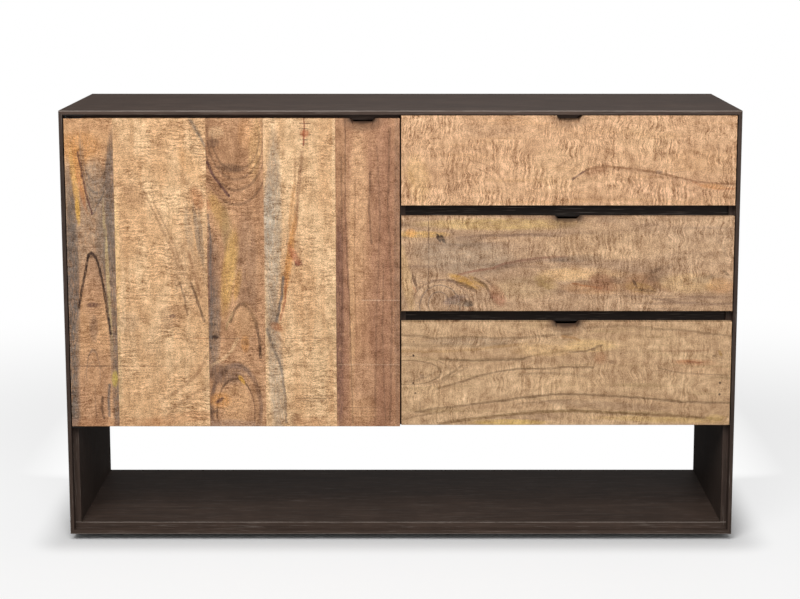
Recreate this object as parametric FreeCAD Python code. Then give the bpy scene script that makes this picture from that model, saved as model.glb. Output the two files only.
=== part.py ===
import FreeCAD
import Part
import os

os.makedirs("parts", exist_ok=True)

V = FreeCAD.Vector

# The sideboard stands on the floor with its front towards -Y. All sizes are millimetres.

# ---- overall
WIDTH = 1400.0
DEPTH = 400.0
CASE_HEIGHT = 900.0
FOOT_HEIGHT = 15.0

# ---- case boards
BOARD = 20.0                # thickness of the four mitred boards
LIP = 8.0                   # outer layer of each board, flush with the fronts
BEHIND_FRONT_GAP = 2.0      # rear face of the fronts to the inner layer of the boards
FLOOR_BOARD = 20.0          # cabinet floor, above the open niche
PARTITION = 20.0
NICHE_HEIGHT = 214.0
BACK_INSET = 10.0           # back panel in from the rear edge of the case
BACK_PANEL = 8.0
CASE_EDGE_ROUND = 1.5

# ---- fronts
FRONT_THICK = 18.0
SIDE_GAP = 2.0              # lip to door, lip to drawer fronts
CENTRE_GAP = 3.0            # door to drawer fronts
DOOR_TOP_GAP = 8.0
DOOR_RAISE = 1.0            # lower edge of the door above the underside of the cabinet floor
DRAWER_TOP_GAP = 2.0
DRAWER_RAISE = 4.0          # lower edge of the last front above the underside of the cabinet floor
UPPER_FRONTS = (186.0, 199.0)    # the third front takes what is left
DRAWER_FRONT_GAP = 23.0
FIRST_FRONT_UPPER = 49.0    # upper board of the first drawer's two-board front
PLANK_WIDTHS = (100.0, 190.0, 118.0, 148.0)    # the fifth plank takes what is left
FRONT_EDGE_ROUND = 1.2

# ---- finger pulls
PULL_TOP_WIDTH = 52.0
PULL_LOW_WIDTH = 38.0
PULL_FRONT_DEPTH = 16.0
PULL_BACK_DEPTH = 7.0
DOOR_PULL_FROM_EDGE = 76.0

# ---- divider rails
RAIL_FINGER_ROOM = 10.0     # rear face of the fronts to the rail
RAIL_DEPTH = 40.0
RAIL_OVERLAP = 4.0          # rail height behind each neighbouring front

# ---- drawer boxes
BOX_WALL = 12.0
BOX_REAR_GAP = 14.0         # box to back panel
BOX_BELOW = 20.0            # underside of the box above the lower edge of its front
BOX_TOP_DROP = 26.0         # top of the box below the upper edge of its front
BOTTOM_THICK = 6.0
BOTTOM_RAISE = 10.0
GROOVE_DEPTH = 5.0
BOX_DOWEL_R = 3.0
BOX_DOWEL_LENGTH = 26.0
BOX_DOWEL_IN_FRONT = 12.0
BOX_DOWEL_EDGE = 0.28       # dowels in from the top and the bottom, as a share of the box height

# ---- runners
RUNNER_SPACE = 13.0
RUNNER_WALL = 1.2
RUNNER_HALF = 20.0
RUNNER_PLAY = 0.6
RUNNER_SHORTER = 6.0        # runner shorter than the box, at its front end

# ---- frame dowels, splines, screws
DOWEL_R = 4.0
DOWEL_LENGTH = 30.0
DOWEL_IN_BOARD = 9.0        # depth of a dowel in an outer board
DOWEL_IN_PARTITION = 8.0
DOWEL_FROM_EDGE = 45.0
SPLINE_THICK = 4.0
SPLINE_WIDTH = 14.0
SPLINE_END = 20.0
SCREW_R = 1.75
SCREW_HEAD_R = 3.5
SCREW_HEAD = 2.0
BACK_SCREW_LENGTH = 25.0
BACK_SCREWS_PER_BAY = 4

# ---- door pivots
PIVOT_INSET = 4.0           # pin centre from the door's left edge and from its front face
PIN_R = 1.9
PIN_FIT = 0.05              # radial running clearance in the shoe
POCKET_FIT = 0.4            # radial clearance in the wood behind the shoe
PIN_ENTRY = 8.0
PLATE_THICK = 2.0
PLATE_WIDTH = 14.0
PLATE_LENGTH = 43.0
PLATE_FRONT_INSET = 1.5
PLATE_SIDE_GAP = 1.0
PLATE_LEG = 42.0
SHOE_LENGTH = 36.0
SHOE_THICK = 3.0
SHOE_MARGIN = 1.0
SHOE_SCREWS = (16.0, 29.0)         # from the door's left edge
SHOE_SCREW_LENGTH = 24.0
TOP_PLATE_SCREWS = (18.0, 34.0)    # from the door's left edge
LOW_PLATE_SCREWS = (12.0, 30.0)    # behind the inner layer's front edge
TOP_PLATE_SCREW_LENGTH = 8.0
LOW_PLATE_SCREW_LENGTH = 16.0

# ---- door battens, catch
BATTEN_HEIGHT = 60.0
BATTEN_THICK = 18.0
BATTEN_SIDE_INSET = 36.0
BATTEN_END_INSET = 110.0
BATTEN_SCREW_IN_PLANK = 11.0
WIDE_PLANK = 100.0          # planks wider than this get two screws a batten
BATTEN_SCREW_EDGE = 30.0
CATCH_ABOVE_SHELF = 120.0
CATCH_SIZE = (16.0, 20.0, 44.0)
CATCH_AIR = 1.0             # magnet to strike plate
CATCH_SCREW_STEP = 15.0
CATCH_SCREW_LENGTH = 28.0
STRIKE_THICK = 1.5
STRIKE_WIDTH = 14.0
STRIKE_HEIGHT = 36.0
STRIKE_SCREW_LENGTH = 12.0

# ---- shelf in the door bay
SHELF_THICK = 18.0
SHELF_END_GAP = 1.0
SHELF_FRONT_GAP = 10.0      # battens of the closed door to the shelf
SHELF_REAR_GAP = 2.0
SHELF_PIN_R = 2.5
SHELF_PIN_LENGTH = 18.0
SHELF_PIN_IN_WOOD = 8.0
SHELF_PIN_EDGE = 50.0

# ---- feet
FOOT_R = 16.0
FOOT_INSET = 60.0
FOOT_RECESS = 4.0
FOOT_SCREW_IN_BOARD = 12.0

# ---- derived planes
X0, X1 = -WIDTH / 2, WIDTH / 2
Y0, Y1 = -DEPTH / 2, DEPTH / 2
Z0, Z1 = FOOT_HEIGHT, FOOT_HEIGHT + CASE_HEIGHT
WELL_X0, WELL_X1 = X0 + BOARD, X1 - BOARD
WELL_TOP = Z1 - BOARD
LIP_UNDER = Z1 - LIP
NICHE_Z0 = Z0 + BOARD
FLOOR_Z0 = NICHE_Z0 + NICHE_HEIGHT
FLOOR_Z1 = FLOOR_Z0 + FLOOR_BOARD
REAR_OF_FRONT = Y0 + FRONT_THICK
REBATE_Y = REAR_OF_FRONT + BEHIND_FRONT_GAP
PANEL_Y1 = Y1 - BACK_INSET
PANEL_Y0 = PANEL_Y1 - BACK_PANEL
HALF_PARTITION = PARTITION / 2
DOOR_X0, DOOR_X1 = X0 + LIP + SIDE_GAP, -CENTRE_GAP / 2
DOOR_Z0, DOOR_Z1 = FLOOR_Z0 + DOOR_RAISE, LIP_UNDER - DOOR_TOP_GAP
DRAWER_X0, DRAWER_X1 = CENTRE_GAP / 2, X1 - LIP - SIDE_GAP
BOX_X0, BOX_X1 = HALF_PARTITION + RUNNER_SPACE, WELL_X1 - RUNNER_SPACE
BOX_Y1 = PANEL_Y0 - BOX_REAR_GAP
PIVOT_X, PIVOT_Y = DOOR_X0 + PIVOT_INSET, Y0 + PIVOT_INSET
SHELF_Z0 = (FLOOR_Z1 + WELL_TOP - SHELF_THICK) / 2

RIGHT, LEFT = V(1, 0, 0), V(-1, 0, 0)
BACK, FORWARD = V(0, 1, 0), V(0, -1, 0)
UP, DOWN = V(0, 0, 1), V(0, 0, -1)


# ---------------------------------------------------------------- small makers
def block(x0, x1, y0, y1, z0, z1):
    return Part.makeBox(x1 - x0, y1 - y0, z1 - z0, V(x0, y0, z0))


def rod(radius, length, start, direction):
    return Part.makeCylinder(radius, length, start, direction)


def screw(start, direction, length):
    head = Part.makeCone(SCREW_HEAD_R, SCREW_R, SCREW_HEAD, start, direction)
    return head.fuse(rod(SCREW_R, length, start, direction)).removeSplitter()


def cut_all(shape, tools):
    for tool in tools:
        shape = shape.cut(tool)
    return shape


def export(name, solids):
    shape = solids[0] if len(solids) == 1 else Part.makeCompound(solids)
    shape.exportStep(os.path.join("parts", name + ".step"))


# ---------------------------------------------------------------- drawer levels and rails
def drawer_levels():
    """Lower and upper edge of each drawer front, from the top down."""
    levels = []
    top = LIP_UNDER - DRAWER_TOP_GAP
    for height in UPPER_FRONTS:
        levels.append((top - height, top))
        top -= height + DRAWER_FRONT_GAP
    levels.append((FLOOR_Z0 + DRAWER_RAISE, top))
    return levels


LEVELS = drawer_levels()
RAIL_LEVELS = [(lower[1] - RAIL_OVERLAP, upper[0] + RAIL_OVERLAP) for upper, lower in zip(LEVELS, LEVELS[1:])]
RAIL_Y0 = REAR_OF_FRONT + RAIL_FINGER_ROOM
RAIL_Y1 = RAIL_Y0 + RAIL_DEPTH


# ---------------------------------------------------------------- joinery of the case
def mitre_splines():
    """A loose tongue across each mitred corner, square to the mitre."""
    splines = []
    for x, sx in ((X0, 1), (X1, -1)):
        for z, sz in ((Z1, -1), (Z0, 1)):
            tongue = block(-SPLINE_WIDTH / 2, SPLINE_WIDTH / 2, REBATE_Y + SPLINE_END, Y1 - SPLINE_END,
                           -SPLINE_THICK / 2, SPLINE_THICK / 2)
            tongue.rotate(V(0, 0, 0), V(0, 1, 0), 45 * sx * sz)
            tongue.translate(V(x + sx * BOARD / 2, 0, z + sz * BOARD / 2))
            splines.append(tongue)
    return splines


def frame_dowels():
    """Dowels that join floor, partition and divider rails to the outer boards and to each other."""
    dowels = []
    left_x, right_x = WELL_X0 - DOWEL_IN_BOARD, WELL_X1 + DOWEL_IN_BOARD
    floor_mid = (FLOOR_Z0 + FLOOR_Z1) / 2
    for y in (REBATE_Y + DOWEL_FROM_EDGE, (REBATE_Y + PANEL_Y0) / 2, PANEL_Y0 - DOWEL_FROM_EDGE):
        dowels.append(rod(DOWEL_R, DOWEL_LENGTH, V(left_x, y, floor_mid), RIGHT))
        dowels.append(rod(DOWEL_R, DOWEL_LENGTH, V(right_x, y, floor_mid), LEFT))
        dowels.append(rod(DOWEL_R, DOWEL_LENGTH, V(0, y, WELL_TOP + DOWEL_IN_BOARD), DOWN))
        dowels.append(rod(DOWEL_R, DOWEL_LENGTH, V(0, y, FLOOR_Z1 - DOWEL_LENGTH / 2), UP))
    rail_y = (RAIL_Y0 + RAIL_Y1) / 2
    for low, high in RAIL_LEVELS:
        rail_mid = (low + high) / 2
        dowels.append(rod(DOWEL_R, DOWEL_LENGTH, V(right_x, rail_y, rail_mid), LEFT))
        dowels.append(rod(DOWEL_R, DOWEL_LENGTH, V(HALF_PARTITION - DOWEL_IN_PARTITION, rail_y, rail_mid), RIGHT))
    return dowels


def back_panel_screws():
    """A row into the cabinet floor on each side of the partition, and a column into the partition."""
    screws = []
    bay = (WELL_X1 - HALF_PARTITION) / (BACK_SCREWS_PER_BAY + 1)
    for step in range(1, BACK_SCREWS_PER_BAY + 1):
        for side in (-1, 1):
            x = side * (HALF_PARTITION + step * bay)
            screws.append(screw(V(x, PANEL_Y1, (FLOOR_Z0 + FLOOR_Z1) / 2), FORWARD, BACK_SCREW_LENGTH))
        z = FLOOR_Z1 + step * (WELL_TOP - FLOOR_Z1) / (BACK_SCREWS_PER_BAY + 1)
        screws.append(screw(V(0, PANEL_Y1, z), FORWARD, BACK_SCREW_LENGTH))
    return screws


def shelf_pins():
    pins = []
    z = SHELF_Z0 - SHELF_PIN_R
    for y in (SHELF_Y0 + SHELF_PIN_EDGE, SHELF_Y1 - SHELF_PIN_EDGE):
        pins.append(rod(SHELF_PIN_R, SHELF_PIN_LENGTH, V(WELL_X0 - SHELF_PIN_IN_WOOD, y, z), RIGHT))
        pins.append(rod(SHELF_PIN_R, SHELF_PIN_LENGTH, V(SHELF_PIN_IN_WOOD - HALF_PARTITION, y, z), LEFT))
    return pins


def feet_and_screws():
    feet = []
    screws = []
    for x in (X0 + FOOT_INSET, 0.0, X1 - FOOT_INSET):
        for y in (Y0 + FOOT_INSET, Y1 - FOOT_INSET):
            fixing = screw(V(x, y, FOOT_RECESS), UP, FOOT_HEIGHT - FOOT_RECESS + FOOT_SCREW_IN_BOARD)
            recess = rod(SCREW_HEAD_R, FOOT_RECESS, V(x, y, 0), UP)
            feet.append(cut_all(rod(FOOT_R, FOOT_HEIGHT, V(x, y, 0), UP), [recess, fixing]))
            screws.append(fixing)
    return feet, screws


# ---------------------------------------------------------------- door hardware on the case
def pivot_plates():
    """Two plates with a pin each: one under the top lip, one under the cabinet floor."""
    y0, y1 = Y0 + PLATE_FRONT_INSET, REBATE_Y - PLATE_FRONT_INSET
    plate_x0 = DOOR_X0 - PLATE_SIDE_GAP
    upper = block(plate_x0, plate_x0 + PLATE_LENGTH, y0, y1, LIP_UNDER - PLATE_THICK, LIP_UNDER)
    pin_z = DOOR_Z1 - PIN_ENTRY
    upper = upper.fuse(rod(PIN_R, LIP_UNDER - pin_z, V(PIVOT_X, PIVOT_Y, pin_z), UP))
    under_z = FLOOR_Z0 - PLATE_THICK
    leg_x0 = WELL_X0 + PLATE_SIDE_GAP
    leg_x1 = leg_x0 + PLATE_WIDTH
    lower = block(plate_x0, leg_x1, y0, y1, under_z, FLOOR_Z0)
    lower = lower.fuse(block(leg_x0, leg_x1, y1, REBATE_Y + PLATE_LEG, under_z, FLOOR_Z0))
    lower = lower.fuse(rod(PIN_R, PLATE_THICK + DOOR_RAISE + PIN_ENTRY, V(PIVOT_X, PIVOT_Y, under_z), UP))
    screws = []
    for dx in TOP_PLATE_SCREWS:
        start = V(DOOR_X0 + dx, (y0 + y1) / 2, LIP_UNDER - PLATE_THICK)
        screws.append(screw(start, UP, TOP_PLATE_SCREW_LENGTH))
    for dy in LOW_PLATE_SCREWS:
        start = V((leg_x0 + leg_x1) / 2, REBATE_Y + dy, under_z)
        screws.append(screw(start, UP, LOW_PLATE_SCREW_LENGTH))
    return upper.removeSplitter(), lower.removeSplitter(), screws


def magnet_catch():
    """Magnet on the partition's left face, steel strike plate behind the door."""
    width, depth, height = CATCH_SIZE
    z = SHELF_Z0 + SHELF_THICK + CATCH_ABOVE_SHELF
    y0 = REAR_OF_FRONT + STRIKE_THICK + CATCH_AIR
    x0 = -HALF_PARTITION - width
    catch = block(x0, -HALF_PARTITION, y0, y0 + depth, z - height / 2, z + height / 2)
    screws = []
    for dz in (-CATCH_SCREW_STEP, CATCH_SCREW_STEP):
        screws.append(screw(V(x0, y0 + depth / 2, z + dz), RIGHT, CATCH_SCREW_LENGTH))
    mid_x = -HALF_PARTITION - width / 2
    strike = block(mid_x - STRIKE_WIDTH / 2, mid_x + STRIKE_WIDTH / 2, REAR_OF_FRONT, REAR_OF_FRONT + STRIKE_THICK,
                   z - STRIKE_HEIGHT / 2, z + STRIKE_HEIGHT / 2)
    strike_screw = screw(V(mid_x, REAR_OF_FRONT + STRIKE_THICK, z), FORWARD, STRIKE_SCREW_LENGTH)
    return catch, screws, strike, strike_screw


SHELF_Y0 = REAR_OF_FRONT + BATTEN_THICK + SHELF_FRONT_GAP
SHELF_Y1 = PANEL_Y0 - SHELF_REAR_GAP
SPLINES = mitre_splines()
FRAME_DOWELS = frame_dowels()
BACK_SCREWS = back_panel_screws()
SHELF_PINS = shelf_pins()
FEET, FOOT_SCREWS = feet_and_screws()
UPPER_PIVOT, LOWER_PIVOT, PLATE_SCREWS = pivot_plates()
CATCH, CATCH_SCREWS, STRIKE, STRIKE_SCREW = magnet_catch()
CASE_TOOLS = SPLINES + FRAME_DOWELS + BACK_SCREWS + SHELF_PINS + FOOT_SCREWS + PLATE_SCREWS + CATCH_SCREWS


# ---------------------------------------------------------------- case
def mitred_board(outline):
    """One outer board from its mitred outline, with the rebate for the fronts and a rounded front arris."""
    corners = [V(x, Y0, z) for x, z in outline]
    board = Part.Face(Part.makePolygon(corners + corners[:1])).extrude(V(0, DEPTH, 0))
    board = board.cut(block(X0 + LIP, X1 - LIP, Y0, REBATE_Y, Z0 + LIP, Z1 - LIP))
    (ax, az), (bx, bz) = outline[:2]
    middle = V((ax + bx) / 2, Y0, (az + bz) / 2)
    arris = [edge for edge in board.Edges if (edge.BoundBox.Center - middle).Length < CASE_EDGE_ROUND]
    return cut_all(board.makeFillet(CASE_EDGE_ROUND, arris), CASE_TOOLS)


def make_case():
    outer = {"tl": (X0, Z1), "tr": (X1, Z1), "bl": (X0, Z0), "br": (X1, Z0)}
    inner = {"tl": (WELL_X0, WELL_TOP), "tr": (WELL_X1, WELL_TOP), "bl": (WELL_X0, NICHE_Z0), "br": (WELL_X1, NICHE_Z0)}
    for name, a, b in (("top_board", "tl", "tr"), ("bottom_board", "bl", "br"),
                       ("left_side", "bl", "tl"), ("right_side", "br", "tr")):
        export(name, [mitred_board([outer[a], outer[b], inner[b], inner[a]])])
    cabinet_floor = block(WELL_X0, WELL_X1, REBATE_Y, PANEL_Y0, FLOOR_Z0, FLOOR_Z1)
    partition = block(-HALF_PARTITION, HALF_PARTITION, REBATE_Y, PANEL_Y0, FLOOR_Z1, WELL_TOP)
    back_panel = block(WELL_X0, WELL_X1, PANEL_Y0, PANEL_Y1, FLOOR_Z0, WELL_TOP)
    export("cabinet_floor", [cut_all(cabinet_floor, CASE_TOOLS)])
    export("centre_partition", [cut_all(partition, CASE_TOOLS)])
    export("back_panel", [cut_all(back_panel, BACK_SCREWS)])
    for name, (low, high) in zip(("upper_divider_rail", "lower_divider_rail"), RAIL_LEVELS):
        rail = block(HALF_PARTITION, WELL_X1, RAIL_Y0, RAIL_Y1, low, high)
        export(name, [cut_all(rail, FRAME_DOWELS)])
    shelf = block(WELL_X0 + SHELF_END_GAP, -HALF_PARTITION - SHELF_END_GAP, SHELF_Y0, SHELF_Y1,
                  SHELF_Z0, SHELF_Z0 + SHELF_THICK)
    export("door_bay_shelf", [shelf])
    export("mitre_splines", SPLINES)
    export("frame_dowels", FRAME_DOWELS)
    export("back_panel_screws", BACK_SCREWS)
    export("shelf_pins", SHELF_PINS)
    export("feet", FEET)
    export("foot_screws", FOOT_SCREWS)
    export("top_pivot_plate", [cut_all(UPPER_PIVOT, PLATE_SCREWS)])
    export("bottom_pivot_plate", [cut_all(LOWER_PIVOT, PLATE_SCREWS)])
    export("pivot_plate_screws", PLATE_SCREWS)
    export("magnet_catch", [cut_all(CATCH, CATCH_SCREWS)])
    export("catch_screws", CATCH_SCREWS)


# ---------------------------------------------------------------- fronts
def pull_cutter(centre_x, top_z):
    """A slanted scoop: deep in the front face, shallow at the back, narrower at its foot."""
    above = PULL_BACK_DEPTH
    outlines = []
    for y, depth in ((Y0, PULL_FRONT_DEPTH), (REAR_OF_FRONT, PULL_BACK_DEPTH)):
        flare = (PULL_TOP_WIDTH - PULL_LOW_WIDTH) / 2 * above / depth
        half_top, half_low = PULL_TOP_WIDTH / 2 + flare, PULL_LOW_WIDTH / 2
        corners = [V(centre_x - half_top, y, top_z + above), V(centre_x + half_top, y, top_z + above),
                   V(centre_x + half_low, y, top_z - depth), V(centre_x - half_low, y, top_z - depth)]
        outlines.append(Part.makePolygon(corners + corners[:1]))
    return Part.makeLoft(outlines, True, True)


def front_board(x0, x1, z0, z1, free_x, free_z):
    """A board of a front, with rounded arrises along those of its edges that are free."""
    board = block(x0, x1, Y0, REAR_OF_FRONT, z0, z1)
    free = []
    for edge in board.Edges:
        box = edge.BoundBox
        in_face = abs(box.Center.y - Y0) < FRONT_EDGE_ROUND and box.YLength < FRONT_EDGE_ROUND
        upright = box.ZLength > box.XLength
        beside = [x for x in free_x if abs(box.Center.x - x) < FRONT_EDGE_ROUND]
        level = [z for z in free_z if abs(box.Center.z - z) < FRONT_EDGE_ROUND]
        if in_face and ((upright and beside) or (not upright and level)):
            free.append(edge)
    return board.makeFillet(FRONT_EDGE_ROUND, free)


# ---------------------------------------------------------------- door
def pivot_shoes():
    """Steel shoes let in flush at the door's left end, their screws, and the pockets in the wood."""
    shoes = []
    screws = []
    pockets = []
    for z, inward in ((DOOR_Z1, DOWN), (DOOR_Z0, UP)):
        far_z = z + inward.z * SHOE_THICK
        shoe = block(DOOR_X0 + SHOE_MARGIN, DOOR_X0 + SHOE_LENGTH, Y0 + SHOE_MARGIN, REAR_OF_FRONT - SHOE_MARGIN,
                     min(z, far_z), max(z, far_z))
        pockets.append(shoe)
        pockets.append(rod(PIN_R + POCKET_FIT, PIN_ENTRY + PLATE_THICK, V(PIVOT_X, PIVOT_Y, z), inward))
        fixings = []
        for dx in SHOE_SCREWS:
            fixings.append(screw(V(DOOR_X0 + dx, (Y0 + REAR_OF_FRONT) / 2, z), inward, SHOE_SCREW_LENGTH))
        hole = rod(PIN_R + PIN_FIT, SHOE_THICK, V(PIVOT_X, PIVOT_Y, z), inward)
        shoes.append(cut_all(shoe, [hole] + fixings))
        screws += fixings
    return shoes, screws, pockets


def door_battens(plank_edges):
    battens = []
    screws = []
    x0, x1 = DOOR_X0 + BATTEN_SIDE_INSET, DOOR_X1 - BATTEN_SIDE_INSET
    rear_y = REAR_OF_FRONT + BATTEN_THICK
    for z in (DOOR_Z0 + BATTEN_END_INSET, DOOR_Z1 - BATTEN_END_INSET - BATTEN_HEIGHT):
        fixings = []
        for left, right in zip(plank_edges, plank_edges[1:]):
            low, high = max(left, x0), min(right, x1)
            spots = [(low + high) / 2]
            if high - low > WIDE_PLANK:
                spots = [low + BATTEN_SCREW_EDGE, high - BATTEN_SCREW_EDGE]
            for x in spots:
                start = V(x, rear_y, z + BATTEN_HEIGHT / 2)
                fixings.append(screw(start, FORWARD, BATTEN_THICK + BATTEN_SCREW_IN_PLANK))
        battens.append(cut_all(block(x0, x1, REAR_OF_FRONT, rear_y, z, z + BATTEN_HEIGHT), fixings))
        screws += fixings
    return battens, screws


def make_door():
    plank_edges = [DOOR_X0]
    for width in PLANK_WIDTHS:
        plank_edges.append(plank_edges[-1] + width)
    plank_edges.append(DOOR_X1)
    shoes, shoe_screws, pockets = pivot_shoes()
    battens, batten_screws = door_battens(plank_edges)
    tools = pockets + shoe_screws + batten_screws + [STRIKE_SCREW]
    tools.append(pull_cutter(DOOR_X1 - DOOR_PULL_FROM_EDGE, DOOR_Z1))
    for number, (left, right) in enumerate(zip(plank_edges, plank_edges[1:]), 1):
        free_x = [x for x in (left, right) if x in (DOOR_X0, DOOR_X1)]
        plank = front_board(left, right, DOOR_Z0, DOOR_Z1, free_x, (DOOR_Z0, DOOR_Z1))
        export("door_plank_%d" % number, [cut_all(plank, tools)])
    export("door_battens", battens)
    export("batten_screws", batten_screws)
    export("pivot_shoes", shoes)
    export("shoe_screws", shoe_screws)
    export("strike_plate", [STRIKE.cut(STRIKE_SCREW)])
    export("strike_screw", [STRIKE_SCREW])


# ---------------------------------------------------------------- runners
def channel(wall_x, towards, near, far, half, mid_z):
    """A C section along Y: its web is near the wall, its flanges reach away from it."""
    web_x, web_inner, end_x = [wall_x + towards * s for s in (near, near + RUNNER_WALL, far)]
    outer = block(min(web_x, end_x), max(web_x, end_x), RUNNER_Y0, BOX_Y1, mid_z - half, mid_z + half)
    hollow_half = half - RUNNER_WALL
    hollow = block(min(web_inner, end_x), max(web_inner, end_x), RUNNER_Y0, BOX_Y1,
                   mid_z - hollow_half, mid_z + hollow_half)
    return outer.cut(hollow)


RUNNER_Y0 = REAR_OF_FRONT + RUNNER_SHORTER
STEP = RUNNER_WALL + RUNNER_PLAY
FLANGE_END = RUNNER_SPACE - STEP


def runner_set(mid_z):
    """Three nested channels on each side: on the case, between, and on the drawer."""
    outers, middles, inners = [], [], []
    for wall_x, towards in ((HALF_PARTITION, 1), (WELL_X1, -1)):
        outers.append(channel(wall_x, towards, 0, FLANGE_END, RUNNER_HALF, mid_z))
        middles.append(channel(wall_x, towards, STEP, FLANGE_END, RUNNER_HALF - STEP, mid_z))
        box_x = wall_x + towards * RUNNER_SPACE
        inners.append(channel(box_x, -towards, 0, RUNNER_SPACE - 2 * STEP, RUNNER_HALF - 2 * STEP, mid_z))
    return outers, middles, inners


# ---------------------------------------------------------------- drawers
def box_dowels(z0, z1):
    dowels = []
    height = z1 - z0
    for z in (z0 + BOX_DOWEL_EDGE * height, z1 - BOX_DOWEL_EDGE * height):
        for x, inward in ((BOX_X0, RIGHT), (BOX_X1, LEFT)):
            in_wall = x + inward.x * BOX_WALL / 2
            dowels.append(rod(BOX_DOWEL_R, BOX_DOWEL_LENGTH, V(in_wall, REAR_OF_FRONT - BOX_DOWEL_IN_FRONT, z), BACK))
            dowels.append(rod(BOX_DOWEL_R, BOX_DOWEL_LENGTH, V(x, BOX_Y1 - BOX_WALL / 2, z), inward))
    return dowels


def make_drawer(number, low, high):
    z0, z1 = low + BOX_BELOW, high - BOX_TOP_DROP
    inside_x0, inside_x1 = BOX_X0 + BOX_WALL, BOX_X1 - BOX_WALL
    rear_y = BOX_Y1 - BOX_WALL
    bottom_z = z0 + BOTTOM_RAISE
    bottom = block(inside_x0 - GROOVE_DEPTH, inside_x1 + GROOVE_DEPTH, REAR_OF_FRONT - GROOVE_DEPTH,
                   rear_y + GROOVE_DEPTH, bottom_z, bottom_z + BOTTOM_THICK)
    dowels = box_dowels(z0, z1)
    tools = [bottom, pull_cutter((DRAWER_X0 + DRAWER_X1) / 2, high)] + dowels
    walls = {"left_side": block(BOX_X0, inside_x0, REAR_OF_FRONT, BOX_Y1, z0, z1),
             "right_side": block(inside_x1, BOX_X1, REAR_OF_FRONT, BOX_Y1, z0, z1),
             "rear": block(inside_x0, inside_x1, rear_y, BOX_Y1, z0, z1)}
    seams = {"front": (low, high)}
    if number == 1:
        seam = high - FIRST_FRONT_UPPER
        seams = {"front_upper": (seam, high), "front_lower": (low, seam)}
    for name, (edge0, edge1) in seams.items():
        walls[name] = front_board(DRAWER_X0, DRAWER_X1, edge0, edge1, (DRAWER_X0, DRAWER_X1), (low, high))
    prefix = "drawer_%d_" % number
    for name, solid in walls.items():
        export(prefix + name, [cut_all(solid, tools)])
    outers, middles, inners = runner_set((z0 + z1) / 2)
    export(prefix + "bottom", [bottom])
    export(prefix + "dowels", dowels)
    export(prefix + "middle_rails", middles)
    export(prefix + "inner_rails", inners)
    return outers


make_case()
make_door()
OUTER_RAILS = []
for drawer_number, (front_low, front_high) in enumerate(LEVELS, 1):
    OUTER_RAILS += make_drawer(drawer_number, front_low, front_high)
export("outer_rails", OUTER_RAILS)
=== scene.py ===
"""Sideboard with a dark mitred frame and figured mango fronts: finishes, stage and camera."""
import math

import bpy
from bpy.props import FloatProperty, FloatVectorProperty, PointerProperty
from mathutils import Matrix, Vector


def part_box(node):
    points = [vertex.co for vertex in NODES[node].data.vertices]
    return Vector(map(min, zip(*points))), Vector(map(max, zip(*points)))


bl_info = {
    "name": "Sideboard finishes",
    "version": (1, 0, 0),
    "blender": (4, 5, 0),
    "location": "3D View > Sidebar > Sideboard",
    "description": "Wood and metal finishes, stage and camera for a sideboard with a mitred frame",
    "category": "Object",
}

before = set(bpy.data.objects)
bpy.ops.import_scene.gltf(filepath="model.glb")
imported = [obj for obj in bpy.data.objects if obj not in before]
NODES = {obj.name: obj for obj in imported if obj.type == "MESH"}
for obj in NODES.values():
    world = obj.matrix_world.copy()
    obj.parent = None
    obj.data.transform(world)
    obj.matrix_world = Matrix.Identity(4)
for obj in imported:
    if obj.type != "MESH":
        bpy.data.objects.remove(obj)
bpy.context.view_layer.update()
LOW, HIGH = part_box("top_board")[0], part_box("top_board")[1]
CASE_LEFT, CASE_RIGHT = LOW[0], HIGH[0]
CASE_FRONT, CASE_REAR = LOW[1], HIGH[1]
CASE_TOP = HIGH[2]
CASE_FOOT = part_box("bottom_board")[0][2]
MM = 1000.0


# ------------------------------------------------------------------------------ settings
class SideboardFinish(bpy.types.PropertyGroup):
    """Colours of the woods, stains and metals."""
    stain: FloatVectorProperty(name="Stain", description="Dark stain of the case", subtype="COLOR",
                               size=3, min=0, max=1, default=(0.056, 0.036, 0.027))
    # Paler colour for the fine scratches, which are wear, and for the arrises, where it is wear and painted
    # highlight.
    wear_and_highlight: FloatVectorProperty(name="Worn stain", description="Stain rubbed thin along the arrises",
                                    subtype="COLOR", size=3, min=0, max=1, default=(0.26, 0.215, 0.185))
    # Darker colour mixed into each finger pull's hollow and, fainter, into the board below it.
    pull_darkening: FloatVectorProperty(name="Pull stain", description="Dark stain inside the finger pulls",
                                    subtype="COLOR", size=3, min=0, max=1, default=(0.018, 0.012, 0.009))
    box_wood: FloatVectorProperty(name="Box wood", description="Plain wood of the drawer boxes",
                                  subtype="COLOR", size=3, min=0, max=1, default=(0.60, 0.43, 0.27))
    zinc: FloatVectorProperty(name="Zinc", description="Zinc plated steel", subtype="COLOR",
                              size=3, min=0, max=1, default=(0.56, 0.57, 0.58))
    figure: FloatProperty(name="Figure", description="Strength of the cross figure in the mango wood",
                          min=0, max=2, default=1.0)
    relief: FloatProperty(name="Relief", description="Depth of saw marks and pores", min=0, max=2,
                          default=1.0)


class SideboardStage(bpy.types.PropertyGroup):
    """Where the camera stands and how bright the lamps are."""
    distance: FloatProperty(name="Camera distance", description="From the front of the case", unit="LENGTH",
                            default=3.677)
    height: FloatProperty(name="Camera height", description="Above the floor", unit="LENGTH", default=1.271)
    sideways: FloatProperty(name="Camera offset", description="To the right of the middle", unit="LENGTH",
                            default=0.027)
    lens: FloatProperty(name="Lens", description="Focal length", default=81.2, min=20, max=200)
    tilt: FloatProperty(name="Tilt", description="Camera tilt below level", subtype="ANGLE",
                        default=math.radians(8.65))
    key_power: FloatProperty(name="Key lamp", description="Power of the large front lamp", unit="POWER",
                             default=185.0)
    sky: FloatProperty(name="Room light", description="Strength of the even light of the room", min=0, max=2,
                       default=0.17)


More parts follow.
